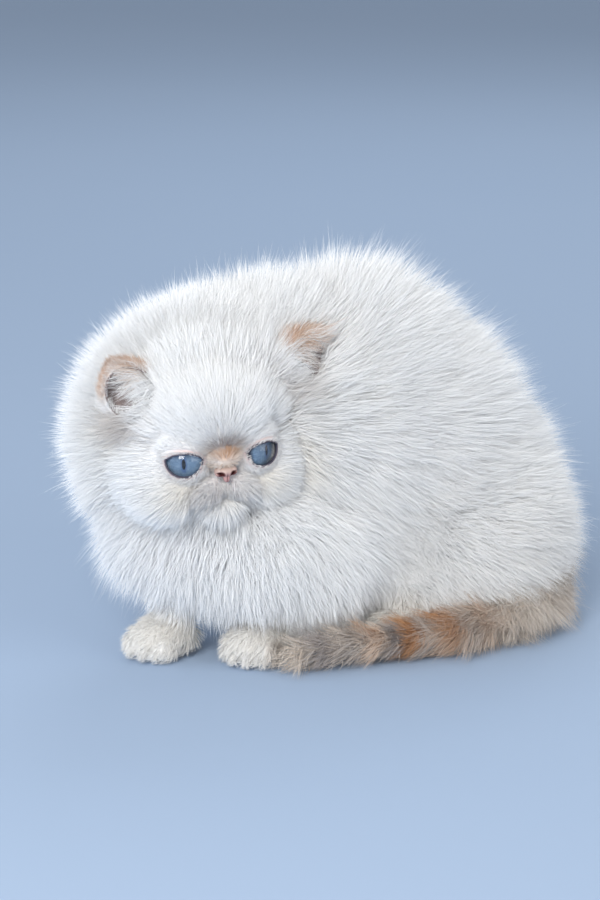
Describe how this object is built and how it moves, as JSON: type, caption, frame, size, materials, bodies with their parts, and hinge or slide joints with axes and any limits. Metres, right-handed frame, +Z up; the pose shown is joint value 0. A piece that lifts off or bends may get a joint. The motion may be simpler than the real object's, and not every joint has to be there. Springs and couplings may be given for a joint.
{
  "type": "persian kitten",
  "caption": "Long-haired white Persian kitten at rest, crouching on its folded legs with its head turned to its left and its tail laid along its flank.",
  "frame": {"origin": "on the floor, at the middle of the flat under the belly, below the middle of the trunk", "axes": "+X from the rump to the chest, +Y to the kitten's own left, +Z up"},
  "size_m": [0.26, 0.1682, 0.1779],
  "materials": {
    "coat": "soft long white hair",
    "paw_coat": "short cream hair",
    "point_coat": "long beige-grey and rust hair",
    "eye": "wet, clear",
    "nose_leather": "fine-grained, moist"
  },
  "bodies": {
    "root": {"head": "coat", "neck": "coat", "chest": "coat", "torso": "coat", "hindleg_left": "coat", "hindleg_right": "coat", "forepaw_left": "paw_coat", "forepaw_right": "paw_coat", "hindpaw_left": "paw_coat", "hindpaw_right": "paw_coat", "ear_left": "point_coat", "ear_right": "point_coat", "tail_base": "point_coat", "tail_middle": "point_coat", "tail_tip": "point_coat", "eye_left": "eye", "eye_right": "eye", "nose": "nose_leather"}
  },
  "joints": []
}
